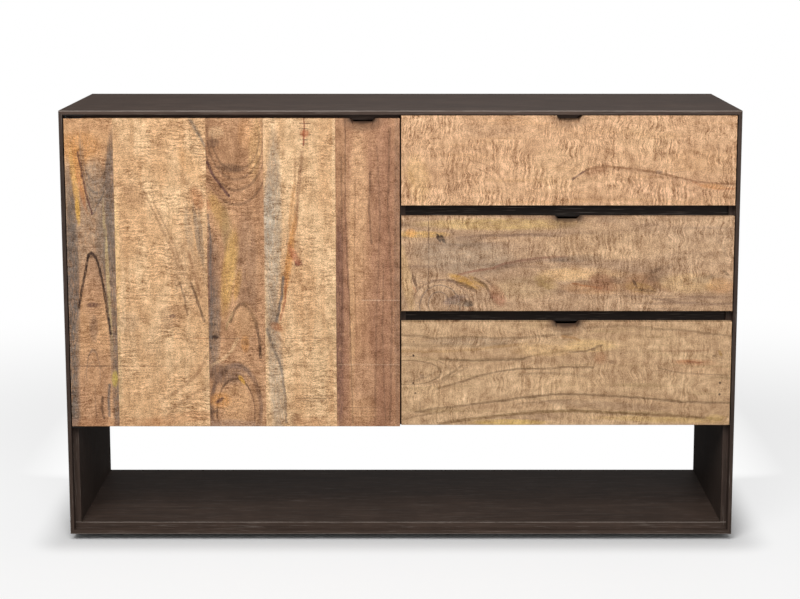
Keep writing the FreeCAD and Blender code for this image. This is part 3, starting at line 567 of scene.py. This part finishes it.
DRAWER_2 = [
    blot(200, 16, 150, 11, (0.60, 0.42, 0.17), 0.62),
    blot(40, 37, 50, 6, (0.66, 0.42, 0.14), 0.65),
    blot(20, 34, 10, 8, ORANGE, 0.5),
    vein([(56, 0), (57, 60), (56, 150)], UMBER, 0.55, 0.9, 0.7),
    blot(57, 36, 16, 2, UMBER, 0.5, 90),
    blot(77, 44, 10, 3.4, INK, 0.95, 62, 0.5),
    blot(86, 47, 10, 3.0, INK, 0.95, 58, 0.5),
    blot(105, 32, 6, 2, UMBER, 0.5, 60),
    vein([(115, 44), (180, 40), (250, 38), (335, 41)], DUSK, 0.5, 2.2),
    vein([(120, 50), (160, 48), (175, 44)], DUSK, 0.4, 1.8),
    blot(130, 85, 90, 34, (0.36, 0.28, 0.21), 0.55, 5),
    vein([(120, 122), (150, 114), (190, 108), (215, 98), (250, 92), (290, 86), (345, 84)], (0.30,
         0.14, 0.09), 0.6, 2.0),
    vein([(200, 106), (235, 97), (280, 90), (340, 90)], DUSK, 0.4, 4.5),
    blot(130, 136, 30, 8, (0.50, 0.28, 0.07), 0.85, 25),
    blot(118, 140, 22, 3, UMBER, 0.75, 22),
    blot(140, 148, 16, 4, UMBER, 0.7, 30),
    blot(160, 138, 22, 5, (0.50, 0.30, 0.10), 0.7, 35),
    vein([(152, 130), (170, 140), (182, 156), (190, 172)], UMBER, 0.6, 2.4),
    vein([(165, 126), (182, 138), (196, 152)], DUSK, 0.45, 2.0),
    blot(200, 165, 22, 12, (0.42, 0.17, 0.10), 0.5, 60),
    ring(78, 184, 26, 22, SLATE, 0.55, 90, 0.07, 0.4),
    ring(80, 190, 46, 42, SLATE, 0.5, 90, 0.05, 0.4),
    ring(82, 192, 58, 62, DUSK, 0.4, 90, 0.04, 0.4),
    vein([(62, 134), (90, 132), (112, 138)], DUSK, 0.5, 1.6),
    blot(110, 175, 22, 8, (0.22, 0.15, 0.13), 0.75, -15),
    blot(139, 183, 10, 6, INK, 0.85, 15),
    blot(120, 182, 24, 5, GREY, 0.6, 10),
    blot(26, 132, 14, 2.2, UMBER, 0.75, 74),
    blot(31, 142, 16, 1.8, UMBER, 0.6, 80),
    blot(27, 152, 8, 1.6, RUST, 0.6, 60),
    blot(10, 130, 70, 10, (0.62, 0.42, 0.20), 0.45, 80),
    blot(255, 150, 60, 20, (0.48, 0.34, 0.19), 0.45),
    blot(298, 143, 13, 5, OLIVE, 0.8, 45),
    blot(292, 138, 22, 10, OLIVE, 0.45, 35),
    vein([(328, 0), (329, 60), (327, 110)], DUSK, 0.35, 0.9),
    blot(340, 122, 50, 12, (0.72, 0.49, 0.26), 0.7),
    blot(385, 120, 70, 12, (0.70, 0.46, 0.25), 0.5),
    blot(400, 150, 60, 12, ORANGE, 0.25),
    blot(365, 88, 50, 7, SLATE, 0.5, -4),
    blot(420, 100, 70, 12, DUSK, 0.35, 8),
    blot(412, 133, 22, 14, (0.27, 0.12, 0.07), 0.6),
    blot(420, 148, 20, 6, (0.23, 0.09, 0.05), 0.6),
    blot(385, 140, 20, 6, UMBER, 0.45, 20),
    vein([(355, 140), (385, 146), (415, 150)], RUST, 0.55, 1.4),
    blot(440, 130, 8, 5, UMBER, 0.5),
    blot(418, 140, 26, 16, (0.30, 0.15, 0.08), 0.55),
    blot(488, 142, 26, 20, (0.33, 0.17, 0.08), 0.6),
    blot(520, 128, 30, 14, UMBER, 0.35, 160),
    blot(300, 138, 22, 12, (0.38, 0.24, 0.10), 0.6, 20),
    blot(500, 138, 30, 20, BROWN, 0.4),
    blot(497, 150, 30, 10, (0.40, 0.24, 0.09), 0.55, 10),
    blot(484, 140, 9, 3, UMBER, 0.8, 60),
    blot(524, 132, 12, 6, UMBER, 0.5),
    blot(540, 148, 24, 6, (0.25, 0.12, 0.06), 0.65, 25),
    blot(505, 155, 20, 3, UMBER, 0.6, 5),
    blot(530, 110, 14, 5, UMBER, 0.5, -30),
    blot(556, 104, 10, 4, UMBER, 0.4, -30),
    blot(600, 140, 60, 18, (0.66, 0.45, 0.23), 0.5),
    vein([(520, 172), (580, 180), (640, 184), (688, 182)], DUSK, 0.4, 2.2),
    blot(645, 132, 40, 8, GREY, 0.35),
    blot(656, 50, 8, 4, UMBER, 0.55, 60),
    blot(668, 72, 10, 3, UMBER, 0.6, 75),
    blot(672, 118, 8, 2.5, UMBER, 0.65, 45),
    blot(645, 128, 8, 3, UMBER, 0.5, 70),
    blot(662, 145, 26, 16, ORANGE, 0.3),
    blot(430, 60, 120, 30, (0.62, 0.42, 0.25), 0.5),
    blot(610, 60, 120, 40, (0.62, 0.43, 0.28), 0.5),
]
FLOW = (0.27, 0.175, 0.10)
DRAWER_3 = [
    vein([(0, 27), (35, 30), (70, 36), (100, 33), (151, 32), (200, 35), (245, 34), (300, 29), (355,
         26)], FLOW, 0.6, 2.2),
    vein([(0, 48), (60, 50), (116, 49), (160, 52), (215, 46)], FLOW, 0.45, 3.0),
    blot(150, 42, 90, 7, GREY, 0.4),
    vein([(0, 62), (80, 63), (140, 60), (200, 53), (260, 46)], (0.45, 0.28, 0.13), 0.45, 2.4),
    vein([(81, 78), (110, 81), (150, 82), (200, 81), (246, 80), (262, 75), (285, 69), (355, 60)],
         FLOW, 0.75, 1.8),
    blot(210, 79, 50, 3, FLOW, 0.5),
    ring(16, 108, 66, 26, FLOW, 0.7, 180, 0.07, 0.6),
    ring(20, 108, 82, 34, FLOW, 0.35, 180, 0.05, 0.5),
    vein([(8, 128), (30, 124), (52, 118), (70, 108)], FLOW, 0.4, 1.6),
    blot(44, 116, 5, 4, DUSK, 0.5),
    vein([(86, 122), (100, 112), (118, 100), (126, 92)], FLOW, 0.55, 2.0),
    vein([(104, 118), (120, 106), (136, 98)], FLOW, 0.35, 1.4),
    vein([(74, 144), (105, 134), (140, 123), (170, 113), (198, 106), (245, 100), (300, 99), (355, 96),
         (400, 97)], FLOW, 0.7, 1.7),
    vein([(60, 132), (90, 122)], FLOW, 0.3, 1.4),
    vein([(245, 112), (300, 108), (360, 112), (390, 118)], FLOW, 0.35, 2.0),
    vein([(30, 193), (75, 185), (128, 179), (170, 173), (222, 167), (270, 160), (315, 155), (355,
         154), (400, 156), (453, 158), (520, 164), (575, 170), (630, 172), (688, 173)], FLOW, 0.75,
         1.9),
    vein([(0, 210), (40, 200), (90, 192)], FLOW, 0.4, 1.6),
    vein([(240, 176), (300, 170), (355, 166)], FLOW, 0.4, 1.6),
    vein([(81, 218), (130, 210), (198, 202), (250, 196), (315, 191), (360, 190), (453, 195), (520,
         198), (575, 201), (671, 209)], (0.24, 0.15, 0.07), 0.7, 2.6),
    blot(420, 178, 120, 8, DUSK, 0.35, 3),
    blot(250, 208, 90, 8, DUSK, 0.35, -5),
    blot(225, 215, 70, 6, (0.66, 0.46, 0.16), 0.75),
    blot(540, 209, 120, 6, (0.60, 0.42, 0.17), 0.55, 2),
    blot(660, 205, 20, 6, (0.60, 0.42, 0.17), 0.5),
    blot(60, 160, 70, 26, CREAM, 0.3),
    blot(330, 130, 90, 16, CREAM, 0.35),
    blot(300, 60, 60, 12, (0.66, 0.44, 0.22), 0.5),
    blot(395, 50, 50, 12, (0.72, 0.50, 0.24), 0.6),
    blot(475, 44, 30, 14, CREAM, 0.35),
    vein([(335, 30), (360, 34), (372, 40)], (0.42, 0.22, 0.08), 0.5, 2.0),
    vein([(352, 64), (385, 62), (400, 56), (418, 50)], FLOW, 0.65, 1.7),
    blot(400, 58, 5, 3, UMBER, 0.7),
    blot(415, 76, 12, 12, RUST, 0.35),
    blot(440, 85, 6, 4, UMBER, 0.5),
    blot(470, 90, 70, 12, BROWN, 0.2),
    vein([(538, 98), (565, 105), (587, 109), (630, 111), (682, 114)], FLOW, 0.65, 1.4),
    vein([(590, 104), (640, 116), (688, 120)], FLOW, 0.3, 1.2),
    vein([(520, 15), (560, 16), (600, 19), (640, 24), (688, 30)], FLOW, 0.5, 1.6),
    vein([(380, 12), (450, 8), (520, 11)], FLOW, 0.4, 2.0),
    vein([(540, 62), (600, 62), (640, 60)], BROWN, 0.35, 1.6),
    blot(611, 86, 19, 2.6, (0.12, 0.03, 0.012), 1.0, 1, 0.6),
    blot(612, 86, 40, 6, RUST, 0.45, 1),
    blot(590, 84, 14, 3, RUST, 0.4),
    blot(25, 72, 2.4, 2.4, INK, 0.9, 0, 0.5),
    blot(24, 130, 2.4, 2.4, INK, 0.9, 0, 0.5),
    blot(29, 152, 2.2, 2.2, INK, 0.8, 0, 0.5),
    blot(666, 130, 2.4, 2.4, INK, 0.9, 0, 0.5),
    blot(666, 155, 2.4, 2.4, INK, 0.9, 0, 0.5),
    blot(26, 42, 2, 2, INK, 0.6, 0, 0.5),
    blot(666, 66, 6, 3, (0.35, 0.2, 0.05), 0.7, 60),
    blot(654, 72, 4, 2, UMBER, 0.5),
    vein([(38, 170), (39, 190)], UMBER, 0.4, 1.0),
    blot(625, 100, 60, 14, PEACH, 0.3),
]
PALE = (CREAM, (0.66, 0.42, 0.235), TAN)
WARM = (PEACH, (0.62, 0.39, 0.235), TAN)
TAWNY = ((0.62, 0.375, 0.215), (0.48, 0.275, 0.155), BROWN)
ASHEN = ((0.55, 0.37, 0.235), (0.44, 0.29, 0.185), DUSK)
SAND = ((0.60, 0.415, 0.255), (0.51, 0.34, 0.205), OLIVE)
RUSSET = ((0.52, 0.30, 0.175), (0.42, 0.225, 0.13), (0.30, 0.15, 0.09))


# ------------------------------------------------------------------------------ other finishes
def stained_case(name, seed, along_axis, tone):
    """Dark stain over planed wood: faint grain, fine scratches, arrises paler, partly rubbed wear and partly
    painted highlight.
    """
    finish = bpy.context.scene.sideboard_finish
    graph = Graph(name)
    x, y, z = graph.split(graph.position)
    place = graph.scaled(graph.position, MM)
    sizes = [6.0, 6.0, 6.0]
    sizes[along_axis] = 190.0
    grain = graph.noise(graph.stretched(place, sizes, seed), 4.0, 0.65)
    hair_sizes = [1.3, 1.3, 1.3]
    hair_sizes[along_axis] = 70.0
    hairs = graph.noise(graph.stretched(place, hair_sizes, seed + 3), 2.0, 0.6)
    scratch = graph.ramp(hairs, 0.60, 0.70)
    cloud = graph.noise(graph.stretched(place, (90, 90, 90), seed + 5), 3.0, 0.6)
    colour = graph.scaled(graph.join(*tone), graph.math("MULTIPLY_ADD", grain, 1.7, 0.15))
    colour = graph.mix(graph.math("MULTIPLY", graph.ramp(cloud, 0.45, 0.75), 0.35), colour,
                       tuple(1.7 * part for part in tone))
    colour = graph.mix(graph.math("MULTIPLY", scratch, 0.45), colour, tuple(finish.wear_and_highlight))

    def near(value, level, reach):
        gap = graph.math("ABSOLUTE", graph.math("SUBTRACT", value, level))
        return graph.ramp(gap, reach, reach * 0.35)

    # Paler arrises along the front lips and the shelf's front edge: partly wear, partly painted highlight
    # where a rounded arris catches light.
    step = near(y, CASE_FRONT + 0.020, 0.0018)
    front = near(y, CASE_FRONT, 0.0026)
    edges = graph.math("MAXIMUM", near(z, CASE_TOP, 0.0022), near(z, CASE_FOOT, 0.0022))
    sides = graph.math("MAXIMUM", near(x, CASE_LEFT, 0.0016), near(x, CASE_RIGHT, 0.0016))
    corner = graph.math("MULTIPLY", front, graph.math("MAXIMUM", edges, graph.math("MULTIPLY", sides, 0.35)))
    inner_arris = graph.math("MULTIPLY", step, near(z, CASE_FOOT + 0.020, 0.0018))
    corner = graph.math("MAXIMUM", corner, graph.math("MULTIPLY", inner_arris, 0.8))
    worn = graph.noise(graph.stretched(place, (60, 9, 60), seed + 11), 3.0, 0.7)
    rubbed = graph.math("MULTIPLY", corner, graph.ramp(worn, 0.30, 0.55, 0.35, 1.0))
    # mix in the paler arris colour: wear and painted highlight
    colour = graph.mix(rubbed, colour, tuple(finish.wear_and_highlight))
    height = graph.math("MULTIPLY_ADD", scratch, -0.5, grain)
    normal = graph.bump(height, 0.25 * finish.relief, 0.0004)
    rough = graph.math("MULTIPLY_ADD", grain, 0.2, 0.5)
    return graph.finish(colour, rough, normal, Specular_IOR_Level=0.22)


def plain_wood(name, tone, seed, along_axis, rough=0.55):
    """Planed wood with straight grain, for what is seen only when the cabinet is open."""
    graph = Graph(name)
    place = graph.scaled(graph.position, MM)
    sizes = [9.0, 9.0, 9.0]
    sizes[along_axis] = 260.0
    grain = graph.noise(graph.stretched(place, sizes, seed), 4.0, 0.6, 0.4)
    thin = [1.2, 1.2, 1.2]
    thin[along_axis] = 26.0
    pores = graph.ramp(graph.noise(graph.stretched(place, thin, seed + 2), 2.0, 0.6), 0.56, 0.72)
    colour = graph.mix(graph.ramp(grain, 0.35, 0.68), tone, tuple(0.66 * part for part in tone))
    colour = graph.mix(graph.math("MULTIPLY", pores, 0.35), colour, tuple(0.42 * part for part in tone))
    normal = graph.bump(graph.math("SUBTRACT", grain, pores), 0.2, 0.0004)
    return graph.finish(colour, graph.math("MULTIPLY_ADD", grain, 0.15, rough - 0.07), normal)


def plated_steel(name, tone, rough, brushed_axis):
    """Zinc plate with rolling marks and dull blotches."""
    graph = Graph(name)
    place = graph.scaled(graph.position, MM)
    sizes = [0.8, 0.8, 0.8]
    sizes[brushed_axis] = 30.0
    marks = graph.noise(graph.stretched(place, sizes, 2.0), 2.0, 0.6)
    blotch = graph.noise(graph.stretched(place, (9, 9, 9), 6.0), 3.0, 0.6)
    colour = graph.scaled(graph.join(*tone), graph.math("MULTIPLY_ADD", blotch, 0.3, 0.85))
    roughness = graph.math("MULTIPLY_ADD", blotch, 0.25, rough - 0.12)
    return graph.finish(colour, roughness, graph.bump(marks, 0.12, 0.0002), Metallic=1.0)


def moulded_plastic(name, tone):
    """Matt moulded plastic with a fine spark-eroded skin."""
    graph = Graph(name)
    place = graph.scaled(graph.position, MM)
    skin = graph.noise(graph.stretched(place, (0.5, 0.5, 0.5), 1.0), 2.0, 0.6)
    cloud = graph.noise(graph.stretched(place, (6, 6, 6), 4.0), 2.0, 0.5)
    colour = graph.scaled(graph.join(*tone), graph.math("MULTIPLY_ADD", cloud, 0.5, 0.75))
    return graph.finish(colour, graph.math("MULTIPLY_ADD", skin, 0.2, 0.45), graph.bump(skin, 0.2, 0.0001))


def dress(node, material):
    """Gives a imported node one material."""
    mesh = NODES[node].data
    mesh.materials.clear()
    mesh.materials.append(material)


# ------------------------------------------------------------------------------ operators
class SIDEBOARD_OT_case(bpy.types.Operator):
    """Dark stained finish on the case, the rails and the inside, with the top board painted lighter as
    painted light and the upright boards and the rails painted darker as painted shade
    """
    bl_idname = "sideboard.case"
    bl_label = "Finish the case"

    def execute(self, context):
        stain = context.scene.sideboard_finish.stain
        plain = tuple(stain)
        # The upright boards get a darker copy of the stain: painted shade.
        upright = tuple(0.82 * part for part in stain)
        # The divider rails, recessed behind the drawer fronts, get a much darker copy of the stain: painted
        # shade in the recess.
        rail = tuple(0.3 * part for part in stain)
        # The top board gets a lighter copy of the stain: painted light on the top.
        painted_light_and_shade = {"top_board": tuple(1.3 * part for part in stain), "upper_divider_rail": rail,
                  "lower_divider_rail": rail}
        level = ("top_board", "bottom_board", "cabinet_floor", "upper_divider_rail", "lower_divider_rail",
                 "door_bay_shelf")
        for number, node in enumerate(level):
            dress(node, stained_case("stain_" + node, 3.0 + 5.0 * number, 0, painted_light_and_shade.get(node, plain)))
        # upright boards take the darker copy of the stain, painted shade
        for number, node in enumerate(("left_side", "right_side", "centre_partition")):
            dress(node, stained_case("stain_" + node, 41.0 + 7.0 * number, 2, upright))
        tone = tuple(0.8 * part for part in stain)
        dress("back_panel", plain_wood("back_board", tone, 8.0, 2, 0.6))
        return {"FINISHED"}


class SIDEBOARD_OT_door(bpy.types.Operator):
    """Five figured planks and the battens behind them"""
    bl_idname = "sideboard.door"
    bl_label = "Finish the door"

    def execute(self, context):
        left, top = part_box("door_plank_1")[0][0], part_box("door_plank_1")[1][2]
        pull = (612.0, 0.0)
        planks = ((PLANK_1, TAWNY, 1.0, 0.55), (PLANK_2, PALE, 1.1, 0.12), (PLANK_3, TAWNY, 1.1, 0.4),
                  (PLANK_4, PALE, 1.0, 0.25), (PLANK_5, RUSSET, 0.55, 0.55))
        for number, (marks, base, ripple, flow) in enumerate(planks, 1):
            material = mango("mango_door_%d" % number, base, left, top, True, marks,
                             pull if number == 5 else None, 10.0 * number, ripple, flow)
            dress("door_plank_%d" % number, material)
        dress("door_battens", mango("mango_battens", TAWNY, left, top, False, [], None, 71.0, 0.8, 0.5))
        return {"FINISHED"}


class SIDEBOARD_OT_fronts(bpy.types.Operator):
    """Figured fronts of the three drawers"""
    bl_idname = "sideboard.fronts"
    bl_label = "Finish the drawer fronts"

    def execute(self, context):
        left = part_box("drawer_2_front")[0][0]
        tops = [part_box(node)[1][2] for node in ("drawer_1_front_upper", "drawer_2_front", "drawer_3_front")]
        pull = (344.0, 0.0)
        fronts = (("drawer_1_front_upper", WARM, 0, DRAWER_1, 1.15, 0.15, 0.55, 103.0),
                  ("drawer_1_front_lower", WARM, 0, DRAWER_1, 1.25, 0.10, 0.55, 117.0),
                  ("drawer_2_front", ASHEN, 1, DRAWER_2, 0.95, 0.30, 0.8, 131.0),
                  ("drawer_3_front", SAND, 2, DRAWER_3, 0.8, 0.25, 1.0, 149.0))
        for node, base, row, marks, ripple, flow, pull_strength, seed in fronts:
            material = mango("mango_" + node, base, left, tops[row], False, marks,
                             pull if node != "drawer_1_front_lower" else None, seed, ripple, flow, 1.0,
                             pull_strength)
            dress(node, material)
        return {"FINISHED"}


class SIDEBOARD_OT_boxes(bpy.types.Operator):
    """Plain wood of the drawer boxes, dowels and splines"""
    bl_idname = "sideboard.boxes"
    bl_label = "Finish the drawer boxes"

    def execute(self, context):
        tone = tuple(context.scene.sideboard_finish.box_wood)
        side = plain_wood("box_side", tone, 12.0, 1)
        rear = plain_wood("box_rear", tone, 19.0, 0)
        bottom = plain_wood("box_bottom", tuple(0.8 * part for part in tone), 27.0, 0)
        for number in (1, 2, 3):
            prefix = "drawer_%d_" % number
            for node, material in (("left_side", side), ("right_side", side), ("rear", rear),
                                   ("bottom", bottom), ("dowels", rear)):
                dress(prefix + node, material)
        for node in ("frame_dowels", "mitre_splines"):
            dress(node, rear)
        return {"FINISHED"}


class SIDEBOARD_OT_hardware(bpy.types.Operator):
    """Runners, pivots, screws, catch and feet"""
    bl_idname = "sideboard.hardware"
    bl_label = "Finish the hardware"

    def execute(self, context):
        zinc = tuple(context.scene.sideboard_finish.zinc)
        runner = plated_steel("runner_steel", zinc, 0.34, 1)
        screws = plated_steel("screw_steel", zinc, 0.30, 2)
        black = plated_steel("black_steel", (0.05, 0.047, 0.045), 0.45, 0)
        for number in (1, 2, 3):
            for kind in ("middle_rails", "inner_rails"):
                dress("drawer_%d_%s" % (number, kind), runner)
        dress("outer_rails", runner)
        for node in ("back_panel_screws", "foot_screws", "catch_screws", "batten_screws", "shoe_screws",
                     "strike_screw", "strike_plate", "shelf_pins", "pivot_shoes"):
            dress(node, screws)
        for node in ("top_pivot_plate", "bottom_pivot_plate", "pivot_plate_screws"):
            dress(node, black)
        dress("magnet_catch", moulded_plastic("catch_plastic", (0.12, 0.07, 0.045)))
        dress("feet", moulded_plastic("foot_plastic", (0.03, 0.03, 0.03)))
        return {"FINISHED"}


class SIDEBOARD_OT_stage(bpy.types.Operator):
    """Pale floor, soft lamps, room light and the camera"""
    bl_idname = "sideboard.stage"
    bl_label = "Set the stage"

    def execute(self, context):
        stage = context.scene.sideboard_stage
        self.floor()
        self.lamp("key_lamp", (-0.7, -3.4, 3.6), (0, 0, 0.5), (3.2, 2.2), stage.key_power)
        self.lamp("fill_lamp", (1.6, -4.2, 1.4), (0, 0, 0.45), (2.4, 2.4), stage.key_power * 0.22)
        self.lamp("rear_lamp", (0.6, 2.6, 3.6), (0, 0.2, 0.6), (2.4, 1.6), stage.key_power * 0.09)
        self.room(stage.sky)
        self.camera(context, stage)
        return {"FINISHED"}

    def floor(self):
        bpy.ops.mesh.primitive_plane_add(size=60.0, location=(0, 0, 0))
        floor = bpy.context.object
        floor.name = "floor"
        graph = Graph("pale_floor")
        seen = graph.new("ShaderNodeLightPath").outputs["Is Camera Ray"]
        graph.finish(graph.mix(seen, (0.30, 0.30, 0.30), (0.88, 0.88, 0.88)), 0.9, Specular_IOR_Level=0.0)
        glow = graph.new("ShaderNodeEmission")
        glow.inputs["Color"].default_value = (1, 1, 1, 1)
        glow.inputs["Strength"].default_value = 1.0
        lift = graph.new("ShaderNodeMixShader")
        past = graph.vector("SUBTRACT", graph.vector("ABSOLUTE", graph.position),
                            (CASE_RIGHT, CASE_REAR, 0.0))
        away = graph.vector("LENGTH", graph.vector("MAXIMUM", past, (0.0, 0.0, 0.0)), out=1)
        near = graph.ramp(away, 0.0, 0.10, 0.0, 0.72)
        far = graph.ramp(away, 0.5, 2.0, 0.0, 0.28)
        x, y, _ = graph.split(graph.position)
        middle = graph.ramp(graph.math("ABSOLUTE", x), 1.3, 0.72)
        behind = graph.math("MULTIPLY", graph.ramp(y, 0.10, 0.30), middle)
        white = graph.math("MAXIMUM", graph.math("ADD", near, far), behind)
        graph.put(lift.inputs[0], graph.math("MULTIPLY", seen, white))
        graph.put(lift.inputs[1], graph.shader.outputs[0])
        graph.put(lift.inputs[2], glow.outputs[0])
        graph.put(graph.output.inputs["Surface"], lift.outputs[0])
        floor.data.materials.append(graph.material)

    def lamp(self, name, place, aim, size, power):
        data = bpy.data.lights.new(name, "AREA")
        data.shape = "RECTANGLE"
        data.size, data.size_y = size
        data.energy = power
        lamp = bpy.data.objects.new(name, data)
        bpy.context.scene.collection.objects.link(lamp)
        lamp.location = place
        lamp.rotation_euler = (Vector(aim) - Vector(place)).to_track_quat("-Z", "Y").to_euler()

    def room(self, strength):
        world = bpy.data.worlds.new("room")
        bpy.context.scene.world = world
        world.use_nodes = True
        nodes, links = world.node_tree.nodes, world.node_tree.links
        nodes.clear()
        out = nodes.new("ShaderNodeOutputWorld")
        light, white, pick = (nodes.new("ShaderNodeBackground"), nodes.new("ShaderNodeBackground"),
                              nodes.new("ShaderNodeMixShader"))
        path = nodes.new("ShaderNodeLightPath")
        light.inputs["Strength"].default_value = strength
        white.inputs["Strength"].default_value = 1.0
        for background in (light, white):
            background.inputs["Color"].default_value = (1, 1, 1, 1)
        links.new(path.outputs["Is Camera Ray"], pick.inputs[0])
        links.new(light.outputs[0], pick.inputs[1])
        links.new(white.outputs[0], pick.inputs[2])
        links.new(pick.outputs[0], out.inputs["Surface"])

    def camera(self, context, stage):
        data = bpy.data.cameras.new("camera")
        data.sensor_width = 36.0
        data.lens = stage.lens
        data.shift_x, data.shift_y = -0.017, -0.113
        camera = bpy.data.objects.new("camera", data)
        context.scene.collection.objects.link(camera)
        camera.location = (stage.sideways, CASE_FRONT - stage.distance, stage.height)
        camera.rotation_euler = (math.radians(90.0) - stage.tilt, 0.0, 0.0)
        context.scene.camera = camera
        context.scene.view_settings.view_transform = "Standard"


class SIDEBOARD_PT_panel(bpy.types.Panel):
    """Lists the steps in the order they are run"""
    bl_idname = "SIDEBOARD_PT_panel"
    bl_label = "Sideboard"
    bl_space_type = "VIEW_3D"
    bl_region_type = "UI"
    bl_category = "Sideboard"

    def draw(self, context):
        for group in (context.scene.sideboard_finish, context.scene.sideboard_stage):
            for key in group.__annotations__:
                self.layout.prop(group, key)
        for step in STEPS:
            self.layout.operator(step.bl_idname)


STEPS = (SIDEBOARD_OT_case, SIDEBOARD_OT_door, SIDEBOARD_OT_fronts, SIDEBOARD_OT_boxes, SIDEBOARD_OT_hardware,
         SIDEBOARD_OT_stage)
CLASSES = (SideboardFinish, SideboardStage) + STEPS + (SIDEBOARD_PT_panel,)


def register():
    for kind in CLASSES:
        bpy.utils.register_class(kind)
    bpy.types.Scene.sideboard_finish = PointerProperty(type=SideboardFinish)
    bpy.types.Scene.sideboard_stage = PointerProperty(type=SideboardStage)


def unregister():
    del bpy.types.Scene.sideboard_stage
    del bpy.types.Scene.sideboard_finish
    for kind in reversed(CLASSES):
        bpy.utils.unregister_class(kind)


def main():
    register()
    for step in STEPS:
        group, action = step.bl_idname.split(".")
        getattr(getattr(bpy.ops, group), action)()


if __name__ == "__main__":
    main()
